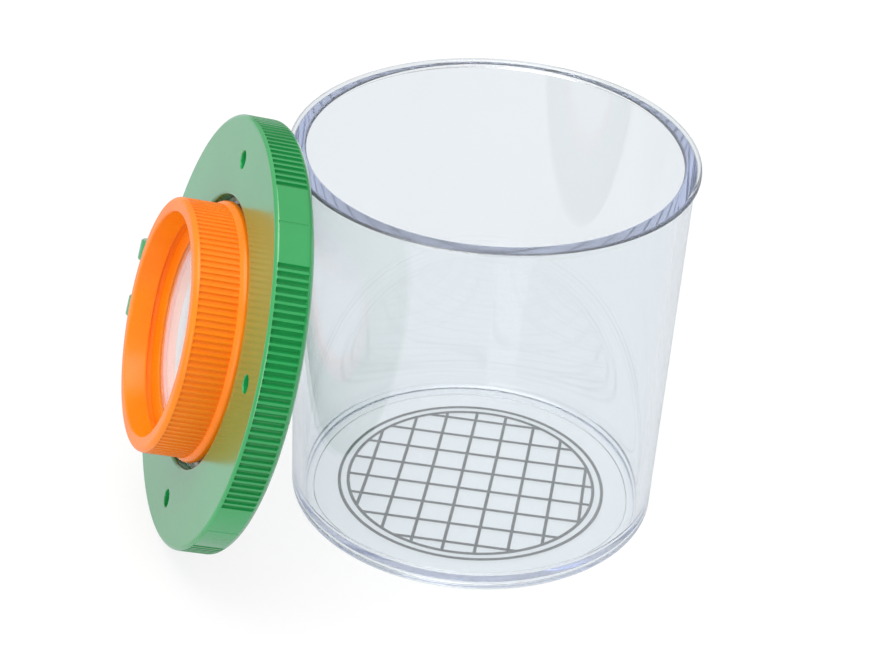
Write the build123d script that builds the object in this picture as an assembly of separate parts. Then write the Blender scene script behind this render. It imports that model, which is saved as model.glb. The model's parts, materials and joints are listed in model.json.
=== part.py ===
from build123d import *
import os
from math import cos, radians, sin, sqrt

# Bug catcher jar: a clear beaker with a measuring grid under its floor, and a push-on lid with
# a lens and a second lens that flips up on a hinge. The lid is off and leans on the jar.
# Millimetres, +Z up. The origin is the centre of the jar's foot, on the table, and the lid
# leans on the jar's -X side.

# Jar, injection moulded in clear polystyrene
jar_height = 61.7
rim_bead_height = 1.1
rim_bead_depth = 0.8
rim_edge_radius = 0.5
mouth_edge_radius = 0.4
jar_wall = 1.9
base_diameter = 58.2
base_edge_radius = 0.9
floor_thickness = 1.35
floor_corner_radius = 1.4
foot_recess = 0.45
foot_width = 3.5

# Measuring grid, printed on the underside of the jar's floor
grid_square = 5.0
grid_lines = 8
grid_line_width = 0.5
grid_offset = 0.8
grid_border_gap = 0.95
grid_ink = 0.1
grid_turn = -21.4

# Lid, moulded in green polystyrene: a top plate, a skirt over the jar's rim and a lens collar
lid_diameter = 67.6
lid_height = 6.3
lid_plate = 1.8
lid_edge_radius = 0.8
skirt_wall = 2.2
skirt_edge_radius = 1.6
skirt_lip_radius = 0.15
rim_clearance = 0.15
lid_lean = 14.76
lid_turn = 105.7
lean_offset = -1.6
lean_gap = 0.3
lean_tolerance = 0.0005

# Grip grooves in the lid's edge, in groups with plain panels between them
grip_groups = 4
grip_grooves = 33
grip_pitch_angle = 2.07
grip_groove_radius = 0.42
grip_groove_depth = 0.45
grip_top_margin = 0.45
grip_band = 1.0

# Air holes through the lid, one to each quarter apart from the hinge's
air_hole_diameter = 2.8

# Lid lens and its seat
window_diameter = 42.5
window_edge_radius = 0.5
lens_crown_depth = 0.53
lens_ledge_width = 2.75
lens_ledge_thickness = 1.0
lens_collar_wall = 1.8
lens_edge = 1.4
lens_outer_curvature = 85.0
lens_inner_curvature = 147.0
lens_clearance = 0.1

# Hinge of the flip lens: two lugs on the lid, a pin through them and a knuckle between them
hinge_inset = 6.0
hinge_height = 2.9
lug_radius = 2.7
lug_width = 3.25
lug_gap = 6.2
knuckle_radius = 2.2
knuckle_side_clearance = 0.15
pin_diameter = 1.6
pin_press_clearance = 0.02
pin_running_clearance = 0.05
arm_floor_clearance = 0.3
arm_top = 4.2

# Flip ring, moulded in orange polystyrene
ring_front = 7.6
ring_sink = 0.9
ring_wall = 2.5
ring_window_clearance = 0.95
ring_flange_width = 0.6
ring_flange_chamfer_top = 0.75
ring_front_land = 2.3
ring_front_edge_radius = 0.8
funnel_depth = 3.1
throat_lip = 0.4
throat_height = 0.35
ring_grooves = 120
ring_groove_radius = 0.34
ring_groove_depth = 0.33
ring_groove_margin = 0.75

# Flip lens and the ring that holds it in
flip_crown_clearance = 0.2
flip_ledge_width = 2.0
retainer_height = 0.9
retainer_inner_height = 0.3
retainer_land = 0.2
retainer_clearance = 0.05


def sag(curvature, radius):
    """How far a lens face of a curvature drops from its crown at a radius."""
    return curvature - sqrt(curvature ** 2 - radius ** 2)


# Radii from the lid's edge inwards: skirt and rim, air holes, window, flip ring and its lens
base_radius = base_diameter / 2
lid_radius = lid_diameter / 2
skirt_inner = lid_radius - skirt_wall
rim_radius = skirt_inner - rim_clearance
window_radius = window_diameter / 2
collar_outer = window_radius + lens_collar_wall
ledge_inner = window_radius - lens_ledge_width
air_hole_distance = (collar_outer + skirt_inner) / 2
hinge_distance = lid_radius - hinge_inset
pin_radius = pin_diameter / 2
flange_radius = window_radius - ring_window_clearance
ring_radius = flange_radius - ring_flange_width
flip_bore_radius = ring_radius - ring_wall
flip_view_radius = flip_bore_radius - flip_ledge_width

# Heights, with each lens seated so that the crown of its inner face clears the lid's face
bead_bottom = jar_height - rim_bead_height
floor_top = foot_recess + floor_thickness
lens_seat_depth = lens_crown_depth + sag(lens_inner_curvature, ledge_inner) + lens_edge
flip_seat_height = flip_crown_clearance + sag(lens_inner_curvature, flip_view_radius)


def nearest_corner(sketch, x, y):
    """The corner of a flat profile that lies nearest to a point."""
    return sketch.vertices().sort_by_distance((x, y, 0))[0]


def rounded(sketch, x, y, radius):
    """The profile with its corner nearest to (x, y) rounded."""
    return fillet(nearest_corner(sketch, x, y), radius)


def turned(sketch):
    """A solid of revolution about Z from a profile of (radius, height) points."""
    return revolve(Plane.XZ * sketch, Axis.Z)


def outer_wall(height):
    """The jar's outer radius at a height, on the straight draft from foot to bead."""
    return base_radius + (rim_radius - rim_bead_depth - base_radius) * height / bead_bottom


def make_jar():
    """Beaker with a drafted wall, a bead round its rim and a foot ring under its floor."""
    mouth = outer_wall(jar_height) - jar_wall
    floor_edge = outer_wall(floor_top) - jar_wall
    foot_inner = base_radius - foot_width
    profile = make_face(Polyline(
        (0, foot_recess),
        (foot_inner, foot_recess),
        (foot_inner, 0),
        (base_radius, 0),
        (outer_wall(bead_bottom), bead_bottom),
        (rim_radius, bead_bottom),
        (rim_radius, jar_height),
        (mouth, jar_height),
        (floor_edge, floor_top),
        (0, floor_top),
        close=True,
    ))
    profile = rounded(profile, base_radius, 0, base_edge_radius)
    profile = rounded(profile, rim_radius, bead_bottom, rim_edge_radius)
    profile = rounded(profile, rim_radius, jar_height, rim_edge_radius)
    profile = rounded(profile, mouth, jar_height, mouth_edge_radius)
    profile = rounded(profile, floor_edge, floor_top, floor_corner_radius)
    return turned(profile)


def make_grid():
    """Printed lines one square apart inside a circle, with a second circle round it."""
    inner = grid_square * grid_lines / 2
    border = inner + grid_line_width + grid_border_gap

    def circle_line(radius):
        return Circle(radius + grid_line_width / 2) - Circle(radius - grid_line_width / 2)

    lines = Sketch()
    for index in range(grid_lines):
        offset = (index - (grid_lines - 1) / 2) * grid_square
        lines += Pos(offset + grid_offset, 0) * Rectangle(grid_line_width, 2 * inner)
        lines += Pos(0, offset) * Rectangle(2 * inner, grid_line_width)
    print_area = (lines & Circle(inner)) + circle_line(inner) + circle_line(border)
    under_floor = Pos(0, 0, foot_recess - grid_ink) * Rot(0, 0, grid_turn)
    return under_floor * extrude(print_area, amount=grid_ink, dir=(0, 0, 1))


def grooves(angles, radius, depth, cutter_radius, low, high):
    """Round cutters at these angles along a circle, parallel to its axis."""
    distance = radius - depth + cutter_radius
    upright = (Align.CENTER, Align.CENTER, Align.MIN)
    cutter = Cylinder(cutter_radius, high - low, align=upright)
    return [Rot(0, 0, angle) * Pos(distance, 0, low) * cutter for angle in angles]


def hinge_rod(radius, length):
    """A rod along the hinge's axis, centred between the lugs."""
    return Pos(hinge_distance, 0, hinge_height) * Rot(90, 0, 0) * Cylinder(radius, length)


def lug_span():
    """Length of the hinge over the outer faces of its two lugs."""
    return lug_gap + 2 * lug_width


def make_lid_shell():
    """Lid as it is turned, about its own axis: its face is at height 0, looking up."""
    ledge_bottom = -lens_seat_depth - lens_ledge_thickness
    profile = make_face(Polyline(
        (window_radius, 0),
        (lid_radius, 0),
        (lid_radius, -lid_height),
        (skirt_inner, -lid_height),
        (skirt_inner, -lid_plate),
        (collar_outer, -lid_plate),
        (collar_outer, ledge_bottom),
        (ledge_inner, ledge_bottom),
        (ledge_inner, -lens_seat_depth),
        (window_radius, -lens_seat_depth),
        close=True,
    ))
    profile = rounded(profile, window_radius, 0, window_edge_radius)
    profile = rounded(profile, lid_radius, 0, lid_edge_radius)
    profile = rounded(profile, lid_radius, -lid_height, skirt_edge_radius)
    profile = rounded(profile, skirt_inner, -lid_height, skirt_lip_radius)
    return turned(profile)


def make_lid():
    """Lid with its grip grooves, air holes and hinge lugs, and its hinge towards +X."""
    quarter = 360 / grip_groups
    half_group = grip_pitch_angle * (grip_grooves - 1) / 2
    grip_angles = [
        group * quarter - half_group + index * grip_pitch_angle
        for group in range(grip_groups)
        for index in range(grip_grooves)
    ]
    cutters = grooves(grip_angles, lid_radius, grip_groove_depth, grip_groove_radius,
                      -lid_height + grip_band, -grip_top_margin)
    for group in range(1, grip_groups):
        drill = Cylinder(air_hole_diameter / 2, 3 * lid_plate)
        cutters.append(Rot(0, 0, group * quarter) * Pos(air_hole_distance, 0, 0) * drill)
    shell = make_lid_shell() - cutters

    lugs = hinge_rod(lug_radius, lug_span())
    lug_depth = hinge_height + lid_plate / 2
    lugs += Pos(hinge_distance, 0, hinge_height - lug_depth / 2) * Box(
        2 * lug_radius, lug_span(), lug_depth)
    lug_slot = Box(4 * lug_radius, lug_gap, 2 * (hinge_height + lug_radius))
    lugs -= Pos(hinge_distance, 0, hinge_height) * lug_slot
    shell += lugs
    return shell - hinge_rod(pin_radius + pin_press_clearance, 2 * lug_span())


def make_lens(outer_radius, view_radius, top_curvature, bottom_curvature):
    """Lens with two convex faces and a flat flange, whose underside is at height 0."""
    middle = view_radius / 2
    top = lens_edge

    def rise(curvature, radius):
        return sag(curvature, view_radius) - sag(curvature, radius)

    top_crown = (0, top + rise(top_curvature, 0))
    top_middle = (middle, top + rise(top_curvature, middle))
    bottom_middle = (middle, -rise(bottom_curvature, middle))
    bottom_crown = (0, -rise(bottom_curvature, 0))
    outline = Curve() + [
        ThreePointArc(top_crown, top_middle, (view_radius, top)),
        Line((view_radius, top), (outer_radius, top)),
        Line((outer_radius, top), (outer_radius, 0)),
        Line((outer_radius, 0), (view_radius, 0)),
        ThreePointArc((view_radius, 0), bottom_middle, bottom_crown),
        Line(bottom_crown, top_crown),
    ]
    return turned(make_face(outline))


def make_flip_ring():
    """Ribbed ring over the lid's window, with an arm back to the hinge's knuckle."""
    chamfer_bottom = ring_flange_chamfer_top - ring_flange_width
    throat_radius = flip_bore_radius - throat_lip
    throat_top = ring_front - funnel_depth
    profile = make_face(Polyline(
        (flip_view_radius, -ring_sink),
        (flange_radius, -ring_sink),
        (flange_radius, chamfer_bottom),
        (ring_radius, ring_flange_chamfer_top),
        (ring_radius, ring_front),
        (ring_radius - ring_front_land, ring_front),
        (throat_radius, throat_top),
        (throat_radius, throat_top - throat_height),
        (flip_bore_radius, throat_top - throat_height),
        (flip_bore_radius, flip_seat_height),
        (flip_view_radius, flip_seat_height),
        close=True,
    ))
    profile = rounded(profile, ring_radius, ring_front, ring_front_edge_radius)
    groove_angles = [index * 360 / ring_grooves for index in range(ring_grooves)]
    ring = turned(profile)
    ring -= grooves(groove_angles, ring_radius, ring_groove_depth, ring_groove_radius,
                    ring_flange_chamfer_top, ring_front - ring_groove_margin)

    knuckle_width = lug_gap - 2 * knuckle_side_clearance
    arm_start = (ring_radius + flip_bore_radius) / 2
    arm_size = (hinge_distance - arm_start, knuckle_width, arm_top - arm_floor_clearance)
    on_corner = (Align.MIN, Align.CENTER, Align.MIN)
    ring += Pos(arm_start, 0, arm_floor_clearance) * Box(*arm_size, align=on_corner)
    ring += hinge_rod(knuckle_radius, knuckle_width)
    return ring - hinge_rod(pin_radius + pin_running_clearance, 2 * lug_span())


def make_lens_retainer():
    """Ring with a sloping front, pressed into the bore behind the throat to hold the flip lens."""
    outer = flip_bore_radius - retainer_clearance
    bottom = flip_seat_height + lens_edge
    return turned(make_face(Polyline(
        (flip_view_radius, bottom),
        (outer, bottom),
        (outer, bottom + retainer_height),
        (outer - retainer_land, bottom + retainer_height),
        (flip_view_radius, bottom + retainer_inner_height),
        close=True,
    )))


def lid_at(face_x):
    """Place of the leaning lid's face at a distance along X, with its skirt on the table."""
    lean_cos = cos(radians(lid_lean))
    lean_sin = sin(radians(lid_lean))
    face_z = ((lid_height - skirt_edge_radius) * lean_sin
              + (lid_radius - skirt_edge_radius) * lean_cos + skirt_edge_radius)
    face_normal = Vector(-lean_cos, 0, lean_sin)
    uphill = Vector(lean_sin, 0, lean_cos)
    across = face_normal.cross(uphill)
    to_hinge = uphill * cos(radians(lid_turn)) + across * sin(radians(lid_turn))
    face_centre = (face_x, lean_offset, face_z)
    return Plane(origin=face_centre, x_dir=to_hinge, z_dir=face_normal).location


def lean_on(jar, *leaning):
    """Place of the lid's face once it has slid in along X from well clear to rest on the jar."""
    face_x = -(rim_radius + lid_radius + lid_height)
    room = -face_x
    while room > lean_tolerance:
        place = lid_at(face_x)
        room = min(jar.distance_to(place * piece) for piece in leaning) - lean_gap
        face_x += room
    return lid_at(face_x)


jar = make_jar()
lid_lens = Pos(0, 0, -lens_seat_depth) * make_lens(
    window_radius - lens_clearance, ledge_inner, lens_inner_curvature, lens_outer_curvature)
flip_lens = Pos(0, 0, flip_seat_height) * make_lens(
    flip_bore_radius - lens_clearance, flip_view_radius, lens_outer_curvature, lens_inner_curvature)
lid_place = lean_on(jar, make_lid_shell(), lid_lens)

pieces = {
    "jar": jar,
    "measuring_grid": make_grid(),
    "lid": lid_place * make_lid(),
    "lid_lens": lid_place * lid_lens,
    "hinge_pin": lid_place * hinge_rod(pin_radius, lug_span()),
    "flip_ring": lid_place * make_flip_ring(),
    "flip_lens": lid_place * flip_lens,
    "lens_retainer": lid_place * make_lens_retainer(),
}

os.makedirs("parts", exist_ok=True)
for name, piece in pieces.items():
    export_step(piece, f"parts/{name}.step")
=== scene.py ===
import json
from math import ceil, cos, pi, radians, sin, tan

import bmesh
import bpy
import numpy as np
from mathutils import Matrix, Vector


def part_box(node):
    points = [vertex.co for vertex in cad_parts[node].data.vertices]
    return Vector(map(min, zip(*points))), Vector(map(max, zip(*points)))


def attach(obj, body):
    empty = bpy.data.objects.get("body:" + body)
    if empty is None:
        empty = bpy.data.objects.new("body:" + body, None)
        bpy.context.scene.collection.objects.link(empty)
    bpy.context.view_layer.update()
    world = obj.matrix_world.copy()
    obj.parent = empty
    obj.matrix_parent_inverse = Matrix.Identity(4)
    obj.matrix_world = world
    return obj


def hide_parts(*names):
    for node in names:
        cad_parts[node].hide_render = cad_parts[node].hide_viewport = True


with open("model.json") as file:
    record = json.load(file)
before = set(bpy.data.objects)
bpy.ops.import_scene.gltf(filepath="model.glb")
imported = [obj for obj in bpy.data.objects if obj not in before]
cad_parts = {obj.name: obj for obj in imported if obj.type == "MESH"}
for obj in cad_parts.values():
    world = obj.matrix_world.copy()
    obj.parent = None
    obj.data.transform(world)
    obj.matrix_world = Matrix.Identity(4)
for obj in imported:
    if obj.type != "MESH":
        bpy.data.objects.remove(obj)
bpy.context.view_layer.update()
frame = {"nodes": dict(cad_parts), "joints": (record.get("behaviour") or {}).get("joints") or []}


# Jar: a clear beaker, injection moulded in polystyrene, with a drafted wall and a bead round its
# rim. Its floor is lifted off the table by a foot ring, so that the print under it isn't rubbed.
mm = 0.001
_, jar_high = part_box("jar")
rim_radius = jar_high.x
jar_height = jar_high.z
jar_wall = 1.9 * mm
base_radius = 29.1 * mm
base_rounding = 0.9 * mm
bead_height = 1.1 * mm
bead_depth = 0.8 * mm
bead_rounding = 0.5 * mm
bead_root = 0.2 * mm
mouth_rounding = 0.4 * mm
foot_width = 3.5 * mm
foot_recess = 0.45 * mm
foot_rounding = 0.15 * mm
ink_gap = 0.005 * mm
floor_thickness = 1.35 * mm
floor_rounding = 1.4 * mm
bead_bottom = jar_height - bead_height
foot_inner = base_radius - foot_width
floor_bottom = foot_recess + ink_gap
floor_top = foot_recess + floor_thickness
jar_columns = 960
jar_tint = (0.945, 0.968, 0.97, 1)
jar_depth_tint = (0.46, 0.55, 0.85, 1)
jar_clearness = 0.985
jar_ior = 1.57
jar_ripple = 0.0015 * mm
jar_swirl = 90.0


def rounded_outline(corners, loop):
    """Outline through corners of (radius, height, rounding). A rounding turns its corner into an
    arc that meets both sides at a tangent, with one more point on each side just past the arc, so
    that smooth shading stays on the arc. An open outline keeps its two ends as they are."""
    points = np.array([corner[:2] for corner in corners])
    hold = 0.04 * mm
    arc_step = 0.14 * mm
    fewest_steps = 2
    most_steps = 9
    runs = []
    for index, (_, _, rounding) in enumerate(corners):
        here = points[index]
        if rounding == 0 or (not loop and index in (0, len(corners) - 1)):
            runs.append(here[None])
            continue
        back = points[index - 1] - here
        ahead = points[(index + 1) % len(corners)] - here
        back = back / np.linalg.norm(back)
        ahead = ahead / np.linalg.norm(ahead)
        half_angle = np.arccos(np.clip(back @ ahead, -1, 1)) / 2
        middle = (back + ahead) / np.linalg.norm(back + ahead)
        centre = here + middle * rounding / sin(half_angle)
        reach = rounding / tan(half_angle)
        first, last = here + back * reach, here + ahead * reach
        turn = pi - 2 * half_angle
        steps = min(max(ceil(rounding * turn / arc_step), fewest_steps), most_steps)
        share = np.linspace(0, 1, steps + 1)[:, None]
        swing = np.sin((1 - share) * turn) * (first - centre) + np.sin(share * turn) * (last - centre)
        runs += [(first + back * hold)[None], centre + swing / sin(turn), (last + ahead * hold)[None]]
    return np.concatenate(runs)


def full_turn(columns):
    """Angles of a number of columns, evenly spaced once round."""
    return np.linspace(0, 2 * pi, columns, endpoint=False)


def grid_mesh(name, points, loop):
    """Mesh over points in rows and columns: each four neighbours are a face, the columns close on
    themselves, and so do the rows of a loop. Points that fall together on an axis are merged."""
    rows, columns = points.shape[:2]
    number = np.arange(rows * columns).reshape(rows, columns)
    beside = np.roll(number, -1, axis=1)
    above = np.roll(number, -1, axis=0)
    above_beside = np.roll(beside, -1, axis=0)
    faces = np.stack([number, beside, above_beside, above], axis=-1)
    faces = faces if loop else faces[:-1]
    mesh = bpy.data.meshes.new(name)
    mesh.from_pydata(points.reshape(-1, 3), [], faces.reshape(-1, 4))
    return closed_mesh(mesh)


def closed_mesh(mesh):
    """The mesh with its doubles merged, its faces turned outwards and only sharp edges creased."""
    merge_distance = 1e-7
    crease_angle = radians(40)
    work = bmesh.new()
    work.from_mesh(mesh)
    bmesh.ops.remove_doubles(work, verts=work.verts, dist=merge_distance)
    bmesh.ops.recalc_face_normals(work, faces=work.faces)
    work.to_mesh(mesh)
    work.free()
    mesh.shade_smooth()
    mesh.set_sharp_from_angle(angle=crease_angle)
    return mesh


def turned(name, outline, loop, angles):
    """Surface of revolution: each outline point goes round the Z axis at its own radius and height."""
    radius, height = outline[:, :1], outline[:, 1:]
    across = np.ones_like(angles)
    points = np.stack([radius * np.cos(angles), radius * np.sin(angles), height * across], axis=-1)
    return grid_mesh(name, points, loop)


def add_node(tree, kind, inputs=None, **settings):
    """New node of a kind with its settings. Each input takes a plain value or a link from a socket."""
    node = tree.nodes.new(kind)
    for key, value in settings.items():
        setattr(node, key, value)
    for key, value in (inputs or {}).items():
        if isinstance(value, bpy.types.NodeSocket):
            tree.links.new(value, node.inputs[key])
        else:
            node.inputs[key].default_value = value
    return node


def new_material(name):
    """Empty node material, with its output node."""
    material = bpy.data.materials.new(name)
    material.use_nodes = True
    material.node_tree.nodes.clear()
    return material, material.node_tree, material.node_tree.nodes.new("ShaderNodeOutputMaterial")


def moulded_skin_group():
    """Group for moulded plastic: slow swirls left by the flow, and a fine grain, from two noises."""
    group = bpy.data.node_groups.new("moulded_skin", "ShaderNodeTree")
    for name, start in (("Swirl Scale", 60.0), ("Grain Scale", 2500.0)):
        socket = group.interface.new_socket(name, in_out="INPUT", socket_type="NodeSocketFloat")
        socket.default_value = start
    for name in ("Swirl", "Grain"):
        group.interface.new_socket(name, in_out="OUTPUT", socket_type="NodeSocketFloat")
    entry = group.nodes.new("NodeGroupInput")
    result = group.nodes.new("NodeGroupOutput")
    place = add_node(group, "ShaderNodeTexCoord").outputs["Object"]
    swirl = add_node(group, "ShaderNodeTexNoise", {
        "Vector": place, "Scale": entry.outputs["Swirl Scale"], "Detail": 2.0, "Distortion": 0.6})
    grain = add_node(group, "ShaderNodeTexNoise", {
        "Vector": place, "Scale": entry.outputs["Grain Scale"], "Detail": 3.0, "Roughness": 0.6})
    group.links.new(swirl.outputs["Fac"], result.inputs["Swirl"])
    group.links.new(grain.outputs["Fac"], result.inputs["Grain"])
    return group


def skin(tree, swirl_scale, grain_scale):
    """The moulded skin's swirl and grain in a material, at its own scales in cycles a metre."""
    node = add_node(tree, "ShaderNodeGroup", node_tree=moulded_skin)
    node.inputs["Swirl Scale"].default_value = swirl_scale
    node.inputs["Grain Scale"].default_value = grain_scale
    return node.outputs["Swirl"], node.outputs["Grain"]


def span(tree, value, low, high):
    """A noise value carried from its usual 0.3 to 0.7 onto low to high."""
    return add_node(tree, "ShaderNodeMapRange", {
        "Value": value, "From Min": 0.3, "From Max": 0.7, "To Min": low, "To Max": high}).outputs[0]


def clear_plastic(name, tint, depth_tint, clearness, ior, ripple, swirl_scale):
    """Clear moulding: smooth glass with a slight ripple and haze, which lets light from lamps straight
    through. What clearness leaves out of the light that goes through is scattered as haze, and a long
    way inside the plastic takes on its depth tint."""
    grain_scale = 1500.0
    roughest = 0.02
    lamp_tint = (0.95, 0.97, 0.98, 1)
    depth_density = 12.0
    material, tree, output = new_material(name)
    swirl, grain = skin(tree, swirl_scale, grain_scale)
    bump = add_node(tree, "ShaderNodeBump", {"Height": swirl, "Strength": 1.0, "Distance": ripple})
    glass = add_node(tree, "ShaderNodeBsdfPrincipled", {
        "Base Color": tint, "Metallic": 0.0, "IOR": ior, "Transmission Weight": clearness,
        "Roughness": span(tree, grain, 0.0, roughest), "Normal": bump.outputs[0]})
    through = add_node(tree, "ShaderNodeBsdfTransparent", {"Color": lamp_tint})
    light = add_node(tree, "ShaderNodeLightPath")
    mix = add_node(tree, "ShaderNodeMixShader", {
        "Fac": light.outputs["Is Shadow Ray"], 1: glass.outputs[0], 2: through.outputs[0]})
    depth = add_node(tree, "ShaderNodeVolumeAbsorption", {"Color": depth_tint, "Density": depth_density})
    tree.links.new(mix.outputs[0], output.inputs["Surface"])
    tree.links.new(depth.outputs[0], output.inputs["Volume"])
    return material


def add_piece(mesh, material, body, slot, *nodes):
    """Adds the mesh as a piece that rides on a body and stands for CAD nodes, with its material."""
    piece = bpy.data.objects.new(mesh.name, mesh)
    bpy.context.scene.collection.objects.link(piece)
    mesh.materials.clear()
    mesh.materials.append(material)
    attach(piece, body)
    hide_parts(*nodes)


def wall_radius(height):
    """Outer radius of the jar on the straight draft from its foot to its bead."""
    return base_radius + (rim_radius - bead_depth - base_radius) * height / bead_bottom


moulded_skin = moulded_skin_group()
jar_outline = rounded_outline([
    (0, floor_bottom, 0),
    (foot_inner, floor_bottom, foot_rounding),
    (foot_inner, 0, foot_rounding),
    (base_radius, 0, base_rounding),
    (wall_radius(bead_bottom), bead_bottom, bead_root),
    (rim_radius, bead_bottom, bead_rounding),
    (rim_radius, jar_height, bead_rounding),
    (wall_radius(jar_height) - jar_wall, jar_height, mouth_rounding),
    (wall_radius(floor_top) - jar_wall, floor_top, floor_rounding),
    (0, floor_top, 0),
], loop=False)
jar_mesh = turned("clear_jar", jar_outline, False, full_turn(jar_columns))
jar_plastic = clear_plastic(
    "clear_polystyrene", jar_tint, jar_depth_tint, jar_clearness, jar_ior, jar_ripple, jar_swirl)
add_piece(jar_mesh, jar_plastic, "jar", "clear_plastic", "jar")


# Measuring grid: dark ink pad-printed on the underside of the jar's floor, squares of 5 mm inside
# two circles. The print is a little uneven, with paler specks where the ink is thin.
ink_full = (0.025, 0.025, 0.028, 1)
ink_thin = (0.07, 0.07, 0.075, 1)


def between(tree, factor, first, second):
    """Colour carried from the first to the second as a factor goes from 0 to 1. The Mix node's colour
    sockets go by number, because their names repeat."""
    first_socket = 6
    second_socket = 7
    mixed_socket = 2
    mix = add_node(tree, "ShaderNodeMix", {
        "Factor": factor, first_socket: first, second_socket: second}, data_type="RGBA")
    return mix.outputs[mixed_socket]


def printed_ink(name, full, thin):
    """Ink between a full and a thin tone, by the skin's grain, with a matt surface."""
    swirl_scale = 300.0
    grain_scale = 6000.0
    smoothest = 0.5
    roughest = 0.7
    material, tree, output = new_material(name)
    swirl, grain = skin(tree, swirl_scale, grain_scale)
    tone = between(tree, span(tree, grain, 0.0, 1.0), full, thin)
    ink = add_node(tree, "ShaderNodeBsdfPrincipled", {
        "Base Color": tone, "Roughness": span(tree, swirl, smoothest, roughest), "IOR": 1.45})
    tree.links.new(ink.outputs[0], output.inputs["Surface"])
    return material


grid_materials = frame["nodes"]["measuring_grid"].data.materials
grid_materials.clear()
grid_materials.append(printed_ink("grid_ink", ink_full, ink_thin))


# Lid: moulded in green polystyrene, a plate with a skirt that pushes over the jar's rim. Its edge
# has groups of grip grooves between plain panels, and its two lugs carry the hinge's pin.
hinge = next(joint for joint in frame["joints"] if joint["name"] == "lens_flip")
lid_low, lid_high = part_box("lid")
lid_lean = radians(14.76)
lid_radius = (lid_high.y - lid_low.y) / 2
lid_height = 6.3 * mm
lid_plate = 1.8 * mm
lid_edge = 0.8 * mm
skirt_edge = 1.6 * mm
skirt_wall = 2.2 * mm
skirt_inner = lid_radius - skirt_wall
window_radius = 21.25 * mm
window_edge = 0.5 * mm
collar_outer = 23.05 * mm
ledge_inner = 18.5 * mm
ledge_thickness = 1.0 * mm
lens_seat = -3.0988 * mm
ledge_bottom = lens_seat - ledge_thickness
lower_edge = 0.15 * mm
plate_corner = 0.3 * mm
hinge_inset = 6.0 * mm
hinge_distance = lid_radius - hinge_inset
hinge_height = 2.9 * mm
lug_radius = 2.7 * mm
lug_width = 3.25 * mm
lug_gap = 6.2 * mm
lug_edge = 0.25 * mm
lug_root = -lid_plate / 2
lug_points = 25
pin_radius = 0.8 * mm
lug_bore_fit = 0.02 * mm
panel_inset = 0.06 * mm
panel_columns = 14
grip_groups = 4
grip_grooves = 33
grip_pitch = radians(2.07)
grip_half_width = 0.42 * mm
grip_depth = 0.6 * mm
grip_top = -0.42 * mm
plain_band = 1.0 * mm
grip_bottom = -lid_height + plain_band
grip_end = 0.1 * mm
parting_half_width = 0.14 * mm
parting_depth = 0.07 * mm
parting_columns = 7
air_hole_radius = 1.4 * mm
air_hole_distance = (collar_outer + skirt_inner) / 2
air_hole_columns = 48
hole_edge = 0.12 * mm
hole_rounding = 0.1 * mm
green_tone = (0.008, 0.31, 0.068, 1)
green_pale = (0.012, 0.35, 0.085, 1)
green_gloss = 0.5
green_varnish = 1.0
green_roughness = 0.17
green_swirl = 70.0


def lid_frame():
    """Frame of the lid: its axis leans away from the jar, X points at the hinge and the origin is
    the middle of its face, which the hinge's place gives."""
    normal = Vector((-cos(lid_lean), 0, sin(lid_lean)))
    across = Vector(hinge["axis"]).normalized()
    to_hinge = across.cross(normal)
    face = Vector(hinge["pos_m"]) - to_hinge * hinge_distance - normal * hinge_height
    columns = [(*axis, 0) for axis in (to_hinge, across, normal)] + [(*face, 1)]
    return Matrix(columns).transposed()


def groove_columns(centres, radius, half_width, pitch, fill):
    """Angles of a grooved edge's columns: seven across each groove, closest together at its steep
    sides, one just past each side, one on each ridge, and evenly spaced ones where a wider gap has no
    groove."""
    swing = np.radians([-90, -58, -30, 0, 30, 58, 90])
    brow = 1.08
    widest_ridge = 1.5 * pitch
    across = np.concatenate([[-brow], np.sin(swing), [brow]]) * half_width / radius
    grooved = (centres[:, None] + across).ravel()
    gaps = np.roll(centres, -1) - centres
    gaps[-1] += 2 * pi
    ridges = (centres + gaps / 2)[gaps < widest_ridge]
    wide = gaps > widest_ridge
    plain = centres[wide, None] + gaps[wide, None] * np.linspace(0, 1, fill + 2)[1:-1]
    plain = plain[np.abs(np.subtract.outer(plain, centres)).min(-1) > pitch]
    return np.sort(np.concatenate([grooved, ridges, plain.ravel()]))


def groove_depth(angles, centres, radius, half_width, depth):
    """Depth of a round-bottomed groove at each angle: an ellipse across the nearest groove."""
    offset = np.abs(np.subtract.outer(angles, centres))
    offset = np.minimum(offset, 2 * pi - offset).min(-1) * radius / half_width
    return depth * np.sqrt(np.clip(1 - offset ** 2, 0, 1))


def with_heights(outline, reach, heights):
    """The outline with more points on its outer wall, the stretch beyond a radius, at these heights.
    Each new point lies on the straight line between its neighbours."""
    wall = np.flatnonzero(outline[:, 0] > reach)
    stretch = outline[wall[0]:wall[-1] + 1]
    step = -1 if stretch[0, 1] > stretch[-1, 1] else 1
    rising = stretch[::step]
    added = np.column_stack([np.interp(heights, rising[:, 1], rising[:, 0]), heights])
    rising = np.insert(rising, np.searchsorted(rising[:, 1], heights), added, axis=0)
    return np.concatenate([outline[:wall[0]], rising[::step], outline[wall[-1] + 1:]])


def grooved_turning(name, outline, reach, angles, floor_radius, low, high, run_out):
    """Closed turned shape whose outer wall, beyond a reach, is cut by grooves: between low and high
    no point lies outside the grooves' floor at its angle, and the cut fades over a short run-out."""
    ends = [low, low + run_out, high - run_out, high]
    outline = with_heights(outline, reach, ends)
    radius, height = outline[:, :1], outline[:, 1:]
    share = np.interp(height, ends, [0, 1, 1, 0]) * (radius > reach)
    cut = radius - share * np.clip(radius - floor_radius, 0, None)
    points = np.stack([cut * np.cos(angles), cut * np.sin(angles), height + 0 * angles], axis=-1)
    return grid_mesh(name, points, True)


def about_hinge(radius, turn):
    """Points of (x, z) on a circle about the hinge's place, at each angle of the turn."""
    across = hinge_distance + radius * np.cos(turn)
    upward = hinge_height + radius * np.sin(turn)
    return np.stack([across, upward], axis=-1)


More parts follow.
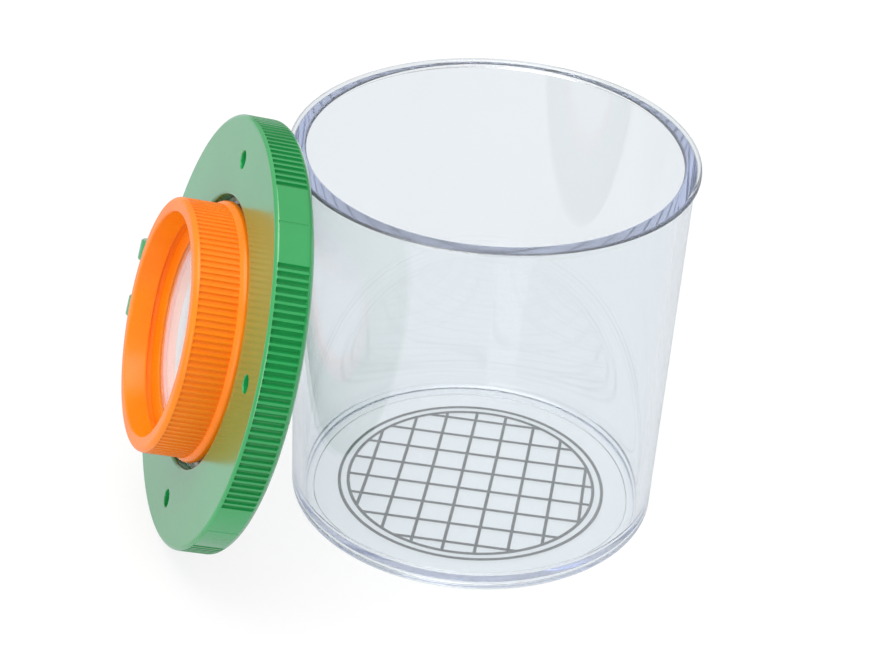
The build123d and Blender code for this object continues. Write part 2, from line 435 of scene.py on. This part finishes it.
def drawn(name, outline, stations):
    """Outline of (x, z) points carried along Y through stations of (y, inset): at each one it is
    drawn in by the inset along its own normals, and flat ends close it."""
    ahead = np.roll(outline, -1, axis=0) - np.roll(outline, 1, axis=0)
    normal = np.stack([ahead[:, 1], -ahead[:, 0]], axis=-1)
    normal /= np.linalg.norm(normal, axis=-1, keepdims=True)
    place, inset = np.array(stations).T[:, :, None]
    flat = outline - inset[..., None] * normal
    points = np.stack([flat[..., 0], place + 0 * flat[..., 0], flat[..., 1]], axis=-1)
    rows, columns = points.shape[:2]
    number = np.arange(rows * columns).reshape(rows, columns)
    beside = np.roll(number, -1, axis=1)
    sides = np.stack([number[:-1], beside[:-1], beside[1:], number[1:]], axis=-1)
    ends = [number[0].tolist(), number[-1].tolist()]
    mesh = bpy.data.meshes.new(name)
    mesh.from_pydata(points.reshape(-1, 3), [], sides.reshape(-1, 4).tolist() + ends)
    return closed_mesh(mesh)


def rounded_ends(low, high, rounding):
    """Stations along a drawn shape, each of its two ends rounded over by a quarter circle."""
    end_stations = 5
    share = np.linspace(0, 1, end_stations) * pi / 2
    inset = rounding * (1 - np.sin(share))
    step = rounding * (1 - np.cos(share))
    start = np.stack([low + step, inset], axis=-1)
    return np.concatenate([start, start[::-1] * [-1, 1] + [low + high, 0]])


def cut_and_join(mesh, joined, cut):
    """The mesh with other meshes joined on and then others cut away, by Boolean modifiers."""
    piece = bpy.data.objects.new("work", mesh)
    bpy.context.scene.collection.objects.link(piece)
    tools = []
    for operation, meshes in (("UNION", joined), ("DIFFERENCE", cut)):
        for tool_mesh in meshes:
            tool = bpy.data.objects.new("tool", tool_mesh)
            bpy.context.scene.collection.objects.link(tool)
            tools.append(tool)
            step = piece.modifiers.new("step", "BOOLEAN")
            step.operation = operation
            step.solver = "MANIFOLD"
            step.object = tool
    bpy.context.view_layer.update()
    evaluated = piece.evaluated_get(bpy.context.evaluated_depsgraph_get())
    result = bpy.data.meshes.new_from_object(evaluated)
    name = mesh.name
    for helper in (piece, *tools):
        bpy.data.objects.remove(helper)
    for used in (mesh, *joined, *cut):
        bpy.data.meshes.remove(used)
    result.name = name
    return closed_mesh(result)


def rod(name, radius, low, high, edge):
    """Round rod along Y through the hinge's place, with its ends chamfered by the edge."""
    rod_columns = 64
    outline = np.array([(0, low), (radius - edge, low), (radius, low + edge),
                        (radius, high - edge), (radius - edge, high), (0, high)])
    mesh = turned(name, outline, False, full_turn(rod_columns))
    laid_down = Matrix.Rotation(-pi / 2, 4, "X")
    mesh.transform(Matrix.Translation((hinge_distance, 0, hinge_height)) @ laid_down)
    return closed_mesh(mesh)


def moulded_plastic(name, tone, pale, gloss, varnish, roughness, swirl_scale):
    """Opaque gloss moulding: its colour drifts a little with the flow, and its grain softens the gloss."""
    grain_scale = 3500.0
    grain_height = 0.003 * mm
    smoothest = roughness - 0.03
    roughest = roughness + 0.05
    material, tree, output = new_material(name)
    swirl, grain = skin(tree, swirl_scale, grain_scale)
    colour = between(tree, span(tree, swirl, 0.0, 1.0), tone, pale)
    bump = add_node(tree, "ShaderNodeBump", {"Height": grain, "Strength": 0.25, "Distance": grain_height})
    plastic = add_node(tree, "ShaderNodeBsdfPrincipled", {
        "Base Color": colour, "IOR": 1.55, "Normal": bump.outputs[0],
        "Specular IOR Level": gloss, "Coat Weight": varnish, "Coat Roughness": 0.2, "Coat IOR": 1.5,
        "Roughness": span(tree, grain, smoothest, roughest)})
    tree.links.new(plastic.outputs[0], output.inputs["Surface"])
    return material


lid_place = lid_frame()
group_starts = np.arange(grip_groups) * 2 * pi / grip_groups
grip_steps = (np.arange(grip_grooves) - (grip_grooves - 1) / 2) * grip_pitch
grip_centres = np.sort(np.add.outer(group_starts, grip_steps).ravel())
grip_radius = lid_radius - panel_inset
lid_outline = rounded_outline([
    (window_radius, 0, window_edge),
    (lid_radius, 0, lid_edge),
    (lid_radius, -lid_height, skirt_edge),
    (skirt_inner, -lid_height, lower_edge),
    (skirt_inner, -lid_plate, plate_corner),
    (collar_outer, -lid_plate, plate_corner),
    (collar_outer, ledge_bottom, lower_edge),
    (ledge_inner, ledge_bottom, lower_edge),
    (ledge_inner, lens_seat, 0),
    (window_radius, lens_seat, 0),
], loop=True)
panel_centres = group_starts + pi / grip_groups
parting_steps = np.linspace(-1, 1, parting_columns) * parting_half_width / grip_radius
grip_angles = np.sort(np.concatenate([
    groove_columns(grip_centres, grip_radius, grip_half_width, grip_pitch, panel_columns),
    np.add.outer(panel_centres, parting_steps).ravel(),
]))
grip_cut = groove_depth(grip_angles, grip_centres, grip_radius, grip_half_width, grip_depth)
grip_cut += groove_depth(grip_angles, panel_centres, grip_radius, parting_half_width, parting_depth)
lid_shell = grooved_turning("green_lid", lid_outline, lid_radius - skirt_edge / 2, grip_angles,
                            grip_radius - grip_cut, grip_bottom, grip_top, grip_end)

lug_outline = np.concatenate([
    [(hinge_distance - lug_radius, lug_root), (hinge_distance + lug_radius, lug_root)],
    about_hinge(lug_radius, np.linspace(0, pi, lug_points)),
])
lugs = []
for side in (-1, 1):
    lug_faces = sorted((side * lug_gap / 2, side * (lug_gap / 2 + lug_width)))
    lugs.append(drawn("lug", lug_outline, rounded_ends(*lug_faces, lug_edge)))

hole_bottom = -2 * lid_plate
hole_top = 2 * hole_edge
hole_outline = rounded_outline([
    (0, hole_bottom, 0),
    (air_hole_radius, hole_bottom, 0),
    (air_hole_radius, -hole_edge, hole_rounding),
    (air_hole_radius + 3 * hole_edge, hole_top, 0),
    (0, hole_top, 0),
], loop=False)
bore_reach = lug_gap / 2 + 2 * lug_width
cuts = [rod("bore", pin_radius + lug_bore_fit, -bore_reach, bore_reach, 0)]
for start in group_starts[1:]:
    hole = turned("hole", hole_outline, False, full_turn(air_hole_columns))
    hole.transform(Matrix.Rotation(start, 4, "Z") @ Matrix.Translation((air_hole_distance, 0, 0)))
    cuts.append(hole)
lid_mesh = cut_and_join(lid_shell, lugs, cuts)
lid_mesh.transform(lid_place)
green_plastic = moulded_plastic(
    "green_polystyrene", green_tone, green_pale, green_gloss, green_varnish, green_roughness, green_swirl)
add_piece(lid_mesh, green_plastic, "lid", "green_plastic", "lid")


# Lid lens: a clear acrylic magnifier with two convex faces, dropped into the lid's window from
# above. Its flange is held on the ledge inside the collar.
lens_edge = 1.4 * mm
lens_rounding = 0.12 * mm
lens_outer_curvature = 85 * mm
lens_inner_curvature = 147 * mm
lens_clearance = 0.1 * mm
lens_columns = 192
lens_tint = (0.94, 0.965, 0.98, 1)
lens_depth_tint = (0.75, 0.78, 0.80, 1)
lens_clearness = 0.85
lens_ior = 1.45
lens_ripple = 0.004 * mm
lens_swirl = 120.0


def lens_sag(curvature, radius):
    """Drop of a lens face below its crown: what a circle of the face's curvature falls by."""
    return curvature - np.sqrt(curvature ** 2 - radius ** 2)


def lens_mesh(name, outer, view, seat, top_curvature, bottom_curvature):
    """Lens turned about the lid's axis: a crown of constant curvature above and below, out to the
    view radius, and a flat flange from there to the outer edge."""
    crown_points = 40
    reach = np.linspace(0, view, crown_points)
    top_rise = lens_sag(top_curvature, view) - lens_sag(top_curvature, reach)
    bottom_rise = lens_sag(bottom_curvature, view) - lens_sag(bottom_curvature, reach)
    below = np.stack([reach, seat - bottom_rise], axis=-1)
    above = np.stack([reach, seat + lens_edge + top_rise], axis=-1)[::-1]
    flange = rounded_outline([
        (view, seat, 0),
        (outer, seat, lens_rounding),
        (outer, seat + lens_edge, lens_rounding),
        (view, seat + lens_edge, 0),
    ], loop=False)
    outline = np.concatenate([below, flange[1:-1], above])
    mesh = turned(name, outline, False, full_turn(lens_columns))
    mesh.transform(lid_place)
    return mesh


lens_plastic = clear_plastic(
    "clear_acrylic", lens_tint, lens_depth_tint, lens_clearness, lens_ior, lens_ripple, lens_swirl)
lid_lens = lens_mesh("clear_lid_lens", window_radius - lens_clearance, ledge_inner, lens_seat,
                     lens_inner_curvature, lens_outer_curvature)
add_piece(lid_lens, lens_plastic, "lid", "lens_plastic", "lid_lens")


# Hinge pin: a plain steel pin pressed through the two lugs, which the flip ring's knuckle turns on.
# It is cut from drawn wire, so that fine draw marks run along it.
pin_reach = lug_gap / 2 + lug_width
pin_chamfer = 0.15 * mm
wire_dark = (0.5, 0.5, 0.51, 1)
wire_bright = (0.68, 0.68, 0.69, 1)


def drawn_wire(name, dark, bright):
    """Bright wire: draw marks are a noise squeezed across the pin and stretched along it."""
    mark_scale = (9000.0, 200.0, 9000.0)
    smoothest = 0.2
    roughest = 0.38
    material, tree, output = new_material(name)
    place = add_node(tree, "ShaderNodeTexCoord").outputs["Object"]
    turn = lid_place.to_3x3().inverted().to_euler()
    along = add_node(tree, "ShaderNodeMapping", {
        "Vector": place, "Rotation": turn, "Scale": mark_scale}).outputs[0]
    marks = add_node(tree, "ShaderNodeTexNoise", {
        "Vector": along, "Scale": 1.0, "Detail": 2.0}).outputs["Fac"]
    steel = add_node(tree, "ShaderNodeBsdfPrincipled", {
        "Base Color": between(tree, marks, dark, bright), "Metallic": 1.0,
        "Roughness": span(tree, marks, smoothest, roughest)})
    tree.links.new(steel.outputs[0], output.inputs["Surface"])
    return material


pin_mesh = rod("steel_hinge_pin", pin_radius, -pin_reach, pin_reach, pin_chamfer)
pin_mesh.transform(lid_place)
pin_steel = drawn_wire("drawn_steel", wire_dark, wire_bright)
add_piece(pin_mesh, pin_steel, "lid", "pin_steel", "hinge_pin")


# Flip ring: moulded in orange polystyrene, with fine ribs round it for the fingers, a wide funnel
# down to its lens and an arm whose knuckle turns on the pin.
ring_radius = 19.7 * mm
ring_front = 7.6 * mm
ring_front_edge = 0.8 * mm
ring_land = 2.3 * mm
land_edge = 0.3 * mm
ring_sink = 0.9 * mm
ring_edge = 0.15 * mm
flange_radius = 20.3 * mm
flange_top = 0.75 * mm
flange_shoulder = 1.0 * mm
flange_root = 0.3 * mm
flip_view = 15.2 * mm
flip_bore = 17.2 * mm
flip_seat = 0.988 * mm
throat_radius = 16.8 * mm
throat_depth = 3.1 * mm
throat_lip = 0.35 * mm
throat_top = ring_front - throat_depth
throat_bottom = throat_top - throat_lip
bore_corner = 0.1 * mm
ring_grooves = 120
ring_groove_half_width = 0.34 * mm
ring_groove_depth = 0.3 * mm
ring_plain_band = 0.75 * mm
ring_groove_top = ring_front - ring_plain_band
ring_groove_end = 0.06 * mm
knuckle_radius = 2.2 * mm
knuckle_clearance = 0.15 * mm
knuckle_half = lug_gap / 2 - knuckle_clearance
knuckle_points = 48
knuckle_bore_fit = 0.05 * mm
arm_start = (ring_radius + flip_bore) / 2
arm_low = 0.3 * mm
arm_high = 4.2 * mm
arm_edge = 0.3 * mm
orange_tone = (1.0, 0.215, 0.003, 1)
orange_pale = (1.0, 0.250, 0.006, 1)
orange_gloss = 0.3
orange_varnish = 0.0
orange_roughness = 0.24
orange_swirl = 80.0

ring_pitch = 2 * pi / ring_grooves
ring_centres = np.arange(ring_grooves) * ring_pitch
ring_angles = groove_columns(ring_centres, ring_radius, ring_groove_half_width, ring_pitch, 0)
ring_cut = groove_depth(ring_angles, ring_centres, ring_radius, ring_groove_half_width, ring_groove_depth)
ring_outline = rounded_outline([
    (flip_view, -ring_sink, ring_edge),
    (flange_radius, -ring_sink, ring_edge),
    (flange_radius, flange_top - (flange_radius - ring_radius), flange_shoulder),
    (ring_radius, flange_top, flange_root),
    (ring_radius, ring_front, ring_front_edge),
    (ring_radius - ring_land, ring_front, land_edge),
    (throat_radius, throat_top, ring_edge),
    (throat_radius, throat_bottom, bore_corner),
    (flip_bore, throat_bottom, bore_corner),
    (flip_bore, flip_seat, bore_corner),
    (flip_view, flip_seat, ring_edge),
], loop=True)
ring_shell = grooved_turning("orange_flip_ring", ring_outline, ring_radius - ring_land / 2, ring_angles,
                             ring_radius - ring_cut, flange_top, ring_groove_top, ring_groove_end)

arm_outline = rounded_outline([
    (arm_start, arm_low, 0),
    (hinge_distance + arm_edge, arm_low, arm_edge),
    (hinge_distance + arm_edge, arm_high, arm_edge),
    (arm_start, arm_high, 0),
], loop=True)
knuckle_outline = about_hinge(knuckle_radius, full_turn(knuckle_points))
knuckle_ends = rounded_ends(-knuckle_half, knuckle_half, arm_edge)
ring_joined = [drawn("arm", arm_outline, knuckle_ends), drawn("knuckle", knuckle_outline, knuckle_ends)]
ring_bore = rod("bore", pin_radius + knuckle_bore_fit, -2 * knuckle_half, 2 * knuckle_half, 0)
ring_mesh = cut_and_join(ring_shell, ring_joined, [ring_bore])
ring_mesh.transform(lid_place)
orange_plastic = moulded_plastic(
    "orange_polystyrene", orange_tone, orange_pale, orange_gloss, orange_varnish, orange_roughness,
    orange_swirl)
add_piece(ring_mesh, orange_plastic, "flip", "orange_plastic", "flip_ring")


# Flip lens: the second magnifier, of the same acrylic as the lid's, laid on the ledge at the bottom
# of the ring's bore.
flip_lens = lens_mesh("clear_flip_lens", flip_bore - lens_clearance, flip_view, flip_seat,
                      lens_outer_curvature, lens_inner_curvature)
add_piece(flip_lens, lens_plastic, "flip", "lens_plastic", "flip_lens")


# Lens retainer: a thin orange ring with a sloping front, pressed into the bore behind the ring's
# throat to hold the lens down.
retainer_fit = 0.05 * mm
retainer_height = 0.9 * mm
retainer_land = 0.2 * mm
retainer_lip = 0.3 * mm
retainer_foot_edge = 0.06 * mm
retainer_bore_edge = 0.1 * mm
retainer_front_edge = 0.08 * mm
retainer_outer = flip_bore - retainer_fit
retainer_bottom = flip_seat + lens_edge
retainer_top = retainer_bottom + retainer_height
retainer_outline = rounded_outline([
    (flip_view, retainer_bottom, retainer_foot_edge),
    (retainer_outer, retainer_bottom, retainer_bore_edge),
    (retainer_outer, retainer_top, retainer_front_edge),
    (retainer_outer - retainer_land, retainer_top, retainer_front_edge),
    (flip_view, retainer_bottom + retainer_lip, retainer_front_edge),
], loop=True)
retainer_mesh = turned("orange_lens_retainer", retainer_outline, True, full_turn(lens_columns))
retainer_mesh.transform(lid_place)
add_piece(retainer_mesh, orange_plastic, "flip", "orange_plastic", "lens_retainer")


# Stage: a plain white table under a large soft lamp, with a weaker one at the front left, in a white
# tent that is palest overhead and to the left. The camera sees the table as paper white with part of
# its shadow left on it, and the clear plastic and the gloss show it a little greyer.
floor_half = 4.0
floor_drop = 0.02 * mm
shadow_left = 0.2
mirror_left = 0.2
matt_white = (0.85, 0.85, 0.85, 1)
paper_white = (1, 1, 1, 1)
paper_strength = 1.04
cool_white = (0.83, 0.85, 0.885, 1)
gloss_white = (0.58, 0.61, 0.64, 1)
tent_white = (1, 1, 1, 1)
tent_low = 0.2
tent_high = 0.85
tent_left = 0.4
tent_through = 0.8
lamp_aim = (-0.02, 0, 0.03)
key_place = (-0.12, -0.06, 0.78)
key_size = 0.6
key_power = 3.5
fill_place = (-0.5, -0.6, 0.22)
fill_size = 0.5
fill_power = 1.6


def combined(tree, operation, first, second):
    """Two values put together by one operation of the Math node."""
    return add_node(tree, "ShaderNodeMath", {0: first, 1: second}, operation=operation).outputs[0]


def table_white(name):
    """Matt white table, most of it covered by an even glow, which is paper white where the camera sees
    it, cooler where clear plastic shows it and greyer where gloss mirrors it."""
    material, tree, output = new_material(name)
    light = add_node(tree, "ShaderNodeLightPath").outputs
    beyond = combined(tree, "MAXIMUM", light["Is Glossy Ray"], light["Is Transmission Ray"])
    mirrored = combined(tree, "MULTIPLY", beyond, 1 - mirror_left)
    seen = combined(tree, "MULTIPLY", light["Is Camera Ray"], 1 - shadow_left)
    share = combined(tree, "MAXIMUM", mirrored, seen)
    tone = between(tree, light["Is Transmission Ray"], gloss_white, cool_white)
    tone = between(tree, light["Is Camera Ray"], tone, paper_white)
    matt = add_node(tree, "ShaderNodeBsdfDiffuse", {"Color": matt_white})
    glow = add_node(tree, "ShaderNodeEmission", {"Color": tone, "Strength": paper_strength})
    mix = add_node(tree, "ShaderNodeMixShader", {
        "Fac": share, 1: matt.outputs[0], 2: glow.outputs[0]})
    tree.links.new(mix.outputs[0], output.inputs["Surface"])
    return material


floor_mesh = bpy.data.meshes.new("table")
floor_corners = np.array([(-1, -1), (1, -1), (1, 1), (-1, 1)]) * floor_half
floor_mesh.from_pydata(np.column_stack([floor_corners, np.full(4, -floor_drop)]), [], [(0, 1, 2, 3)])
floor_mesh.materials.append(table_white("table_white"))
table = bpy.data.objects.new("table", floor_mesh)
bpy.context.scene.collection.objects.link(table)

world = bpy.data.worlds.new("tent")
world.use_nodes = True
bpy.context.scene.world = world
tent_tree = world.node_tree
tent = tent_tree.nodes["Background"]
tent.inputs["Color"].default_value = tent_white
way_out = add_node(tent_tree, "ShaderNodeTexCoord").outputs["Generated"]
heading = add_node(tent_tree, "ShaderNodeSeparateXYZ", {"Vector": way_out}).outputs
tent_rise = add_node(tent_tree, "ShaderNodeMapRange", {
    "Value": heading["Z"], "To Min": tent_low, "To Max": tent_high})
tent_side = add_node(tent_tree, "ShaderNodeMapRange", {
    "Value": heading["X"], "From Min": 0.0, "From Max": -1.0, "To Min": 0.0, "To Max": tent_left})
tent_lit = combined(tent_tree, "ADD", tent_rise.outputs[0], tent_side.outputs[0])
tent_rays = add_node(tent_tree, "ShaderNodeLightPath").outputs
tent_seen = add_node(tent_tree, "ShaderNodeMapRange", {
    "Value": tent_rays["Is Transmission Ray"], "To Min": tent_lit, "To Max": tent_through})
tent_tree.links.new(tent_seen.outputs[0], tent.inputs["Strength"])


def soft_lamp(name, place, aim, size, power):
    """Adds a square soft lamp at a place, turned to face a point."""
    lamp = bpy.data.lights.new(name, "AREA")
    lamp.shape = "SQUARE"
    lamp.size = size
    lamp.energy = power
    holder = bpy.data.objects.new(name, lamp)
    bpy.context.scene.collection.objects.link(holder)
    holder.location = place
    holder.rotation_euler = (Vector(aim) - Vector(place)).to_track_quat("-Z", "Y").to_euler()


soft_lamp("key", key_place, lamp_aim, key_size, key_power)
soft_lamp("fill", fill_place, lamp_aim, fill_size, fill_power)


# Camera: the photograph's place, aim, tilt and focal length, from a camera fitted to the jar. Light
# crosses many walls of clear plastic, so it gets more bounces than usual.
camera_place = Vector((-103.26, -367.60, 266.43)) * mm
camera_dip = 0.5546
camera_roll = 0.0673
camera_heading = Vector((0.2547, 0.9670, 0)).normalized()
focal_pixels = 2847.2
frame_pixels = 886
ahead = camera_heading * cos(camera_dip) - Vector((0, 0, sin(camera_dip)))
right = Vector((camera_heading.y, -camera_heading.x, 0))
upward = right.cross(ahead)
rolled_right = right * cos(camera_roll) + upward * sin(camera_roll)
rolled_up = upward * cos(camera_roll) - right * sin(camera_roll)
camera_data = bpy.data.cameras.new("camera")
camera_data.sensor_width = 36.0
camera_data.lens = focal_pixels / frame_pixels * camera_data.sensor_width
camera_data.clip_start = 0.01
camera = bpy.data.objects.new("camera", camera_data)
bpy.context.scene.collection.objects.link(camera)
camera.matrix_world = Matrix([
    (*row, place) for row, place in zip(zip(rolled_right, rolled_up, -ahead), camera_place)
] + [(0, 0, 0, 1)])
bpy.context.scene.camera = camera
bpy.context.scene.view_settings.view_transform = "Standard"
bpy.context.scene.cycles.max_bounces = 40
bpy.context.scene.cycles.glossy_bounces = 32
bpy.context.scene.cycles.transmission_bounces = 24
